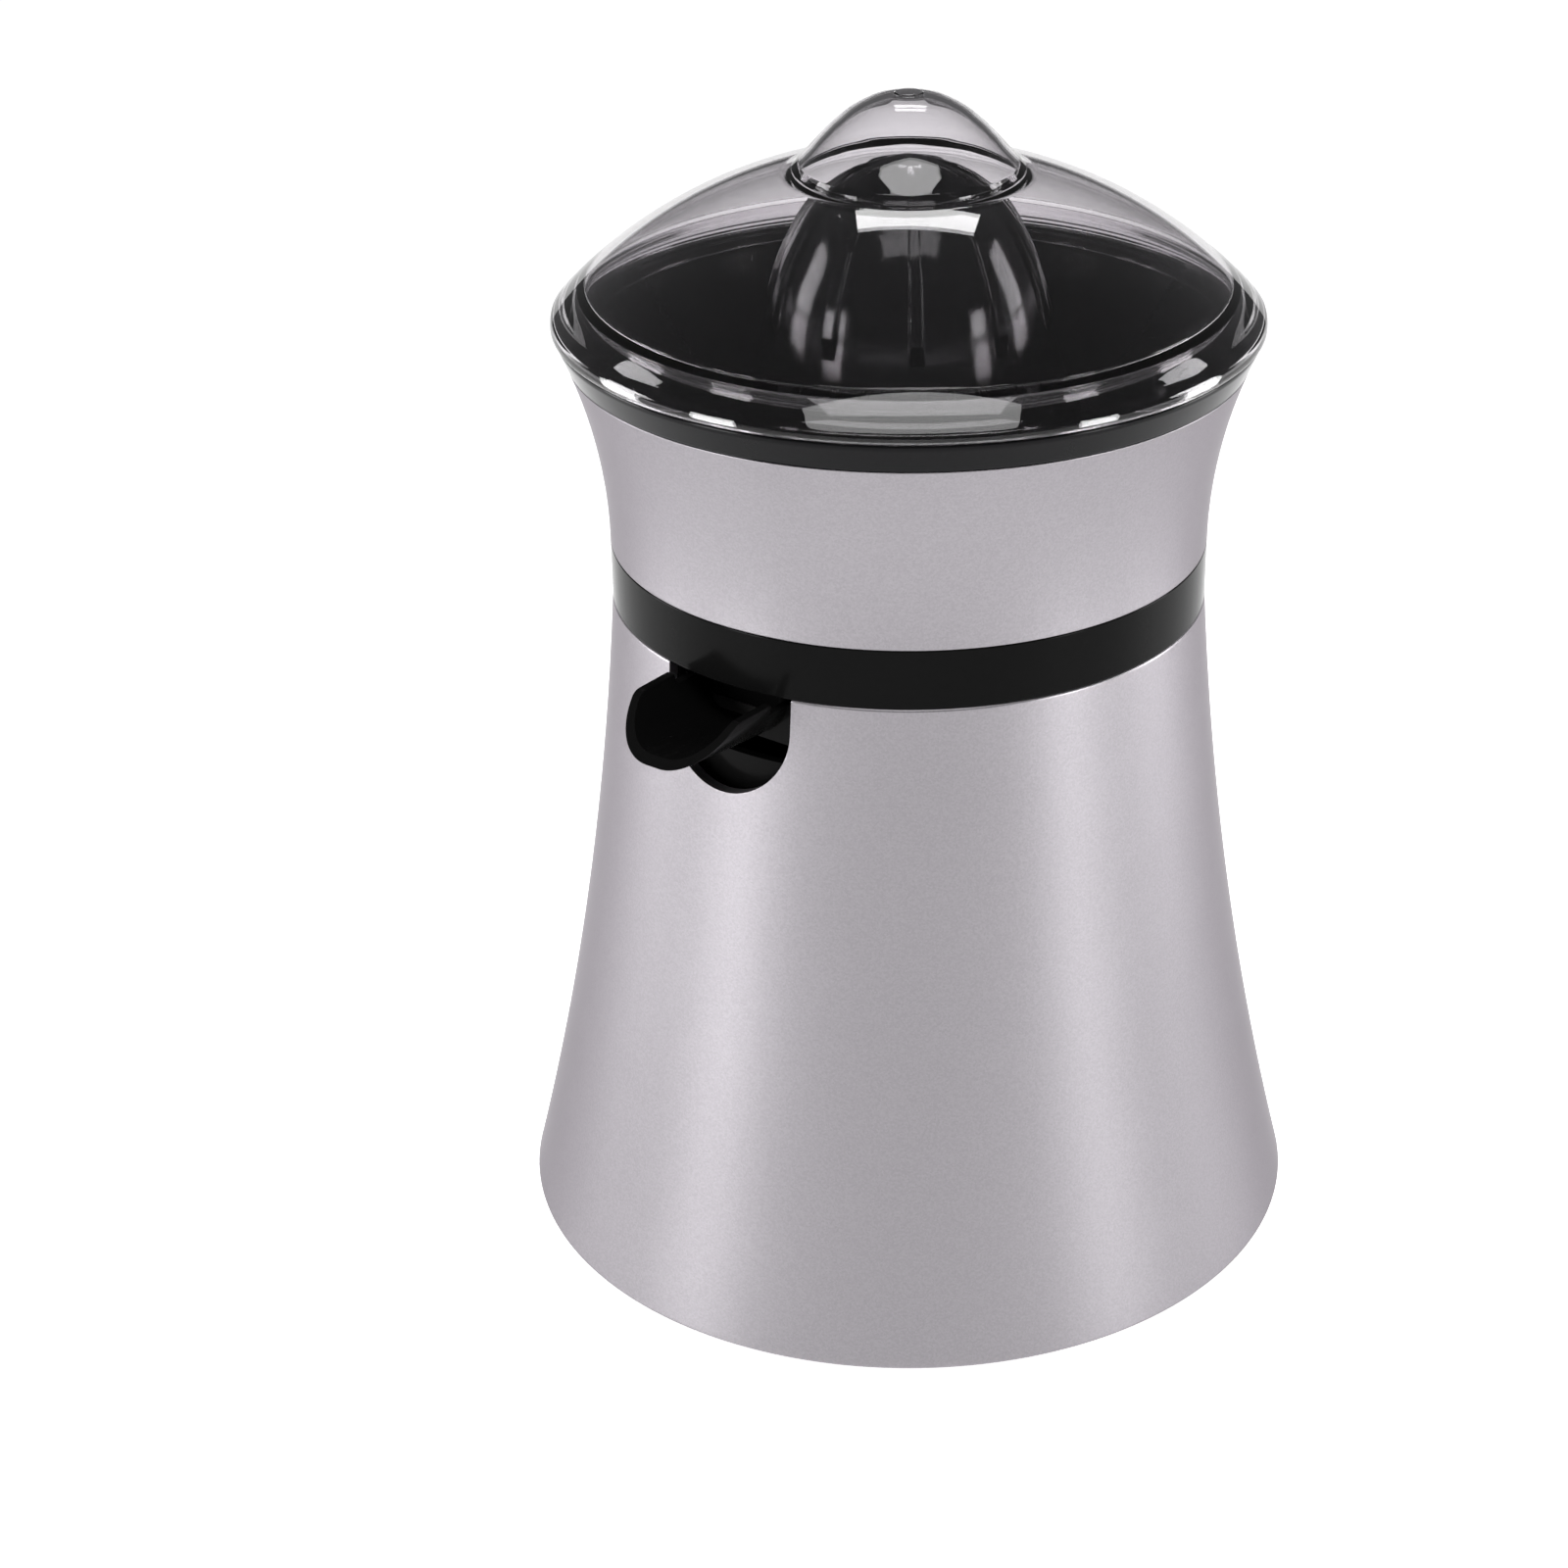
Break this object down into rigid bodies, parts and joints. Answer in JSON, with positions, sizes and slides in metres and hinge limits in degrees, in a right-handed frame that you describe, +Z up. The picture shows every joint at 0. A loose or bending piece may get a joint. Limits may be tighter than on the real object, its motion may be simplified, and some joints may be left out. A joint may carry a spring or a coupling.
{
  "type": "citrus press juicer",
  "caption": "Electric citrus press with a waisted silver housing, clear domed lid, ribbed reamer, strainer bowl and tilting drip-stop spout.",
  "frame": {"origin": "centre of the base on the surface it stands on, below the spindle's axis", "axes": "+Z up along the spindle; the spout points along -Y and the cord inlet is at the back, on +Y"},
  "size_m": [0.1781, 0.1781, 0.262],
  "materials": {
    "silver": "satin metallic silver",
    "black_gloss": "gloss",
    "black_matte": "matte",
    "grey_plastic": "matte",
    "nylon": "satin",
    "clear": "clear gloss",
    "rubber": "matte",
    "seal": "matte",
    "steel": "satin",
    "lamination": "matte",
    "copper": "enamelled",
    "aluminium": "cast",
    "bronze": "sintered"
  },
  "bodies": {
    "base": {"lower_housing": "silver", "base_plate": "black_matte", "rubber_feet": "rubber", "base_screws": "steel", "cord_inlet": "rubber", "top_deck": "black_gloss", "deck_screws": "steel", "shaft_bush": "bronze", "shaft_seal": "seal", "gearbox_case": "grey_plastic", "gearbox_cover": "grey_plastic", "gearbox_screws": "steel", "output_bush": "bronze", "intermediate_axle": "steel", "stator_core": "lamination", "coil_bobbin": "nylon", "coil_winding": "copper", "upper_motor_bracket": "aluminium", "lower_motor_bracket": "aluminium", "motor_bushes": "bronze", "motor_screws": "steel", "return_spring": "steel", "switch_body": "black_matte", "switch_screws": "steel"},
    "rotor": {"rotor_core": "lamination", "motor_shaft": "steel", "motor_pinion": "nylon", "cooling_fan": "grey_plastic"},
    "intermediate": {"intermediate_gear": "nylon"},
    "output": {"output_gear": "nylon"},
    "plunger": {"thrust_plunger": "nylon"},
    "spindle": {"drive_shaft": "steel", "drive_coupler": "black_matte"},
    "reamer": {"reamer": "black_gloss"},
    "switch_lever": {"switch_lever": "steel"},
    "switch_button": {"switch_button": "nylon"},
    "collector": {"juice_collector": "black_gloss", "upper_collar": "silver", "bowl": "black_gloss", "spout_pin": "steel"},
    "spout": {"spout": "black_gloss", "spout_seal": "seal"},
    "lid": {"lid": "clear"}
  },
  "joints": [
    {"name": "motor_spin", "type": "hinge", "parent": "base", "child": "rotor", "pos_m": [-0.02078, 0.019, 0.047], "axis": [0, 0, 1], "continuous": true},
    {"name": "intermediate_spin", "type": "hinge", "parent": "base", "child": "intermediate", "pos_m": [0, 0.031, 0.09], "axis": [0, 0, 1], "continuous": true},
    {"name": "output_spin", "type": "hinge", "parent": "base", "child": "output", "pos_m": [0, 0, 0.102], "axis": [0, 0, 1], "continuous": true},
    {"name": "press", "type": "slide", "parent": "base", "child": "plunger", "axis": [0, 0, -1], "range_m": [0, 0.0025], "stiffness_N_per_m": 4000, "springref_m": -0.002, "deforming": ["return_spring"]},
    {"name": "spindle_spin", "type": "hinge", "parent": "plunger", "child": "spindle", "pos_m": [0, 0, 0.15], "axis": [0, 0, 1], "continuous": true},
    {"name": "reamer_lift", "type": "slide", "parent": "spindle", "child": "reamer", "axis": [0, 0, 1], "range_m": [0, 0.11]},
    {"name": "switch_lever_tilt", "type": "hinge", "parent": "base", "child": "switch_lever", "pos_m": [0, -0.02, 0.07391], "axis": [-1, 0, 0], "range_deg": [0, 7.2]},
    {"name": "switch_button_travel", "type": "slide", "parent": "base", "child": "switch_button", "axis": [0, 0, -1], "range_m": [0, 0.00101]},
    {"name": "collector_lift", "type": "slide", "parent": "base", "child": "collector", "axis": [0, 0, 1], "range_m": [0, 0.11]},
    {"name": "spout_tilt", "type": "hinge", "parent": "collector", "child": "spout", "pos_m": [0, -0.038, 0.145], "axis": [1, 0, 0], "range_deg": [0, 8]},
    {"name": "lid_lift", "type": "slide", "parent": "collector", "child": "lid", "axis": [0, 0, 1], "range_m": [0, 0.08]}
  ],
  "couplings": [
    {"joint": "intermediate_spin", "follows": "motor_spin", "ratio": -0.2},
    {"joint": "output_spin", "follows": "motor_spin", "ratio": 0.038462},
    {"joint": "spindle_spin", "follows": "motor_spin", "ratio": 0.038462},
    {"joint": "switch_lever_tilt", "follows": "press", "rad_per_m": 50},
    {"joint": "switch_button_travel", "follows": "press", "ratio": 0.4},
    {"joint": "reamer_lift", "follows": "collector_lift", "ratio": 1}
  ]
}
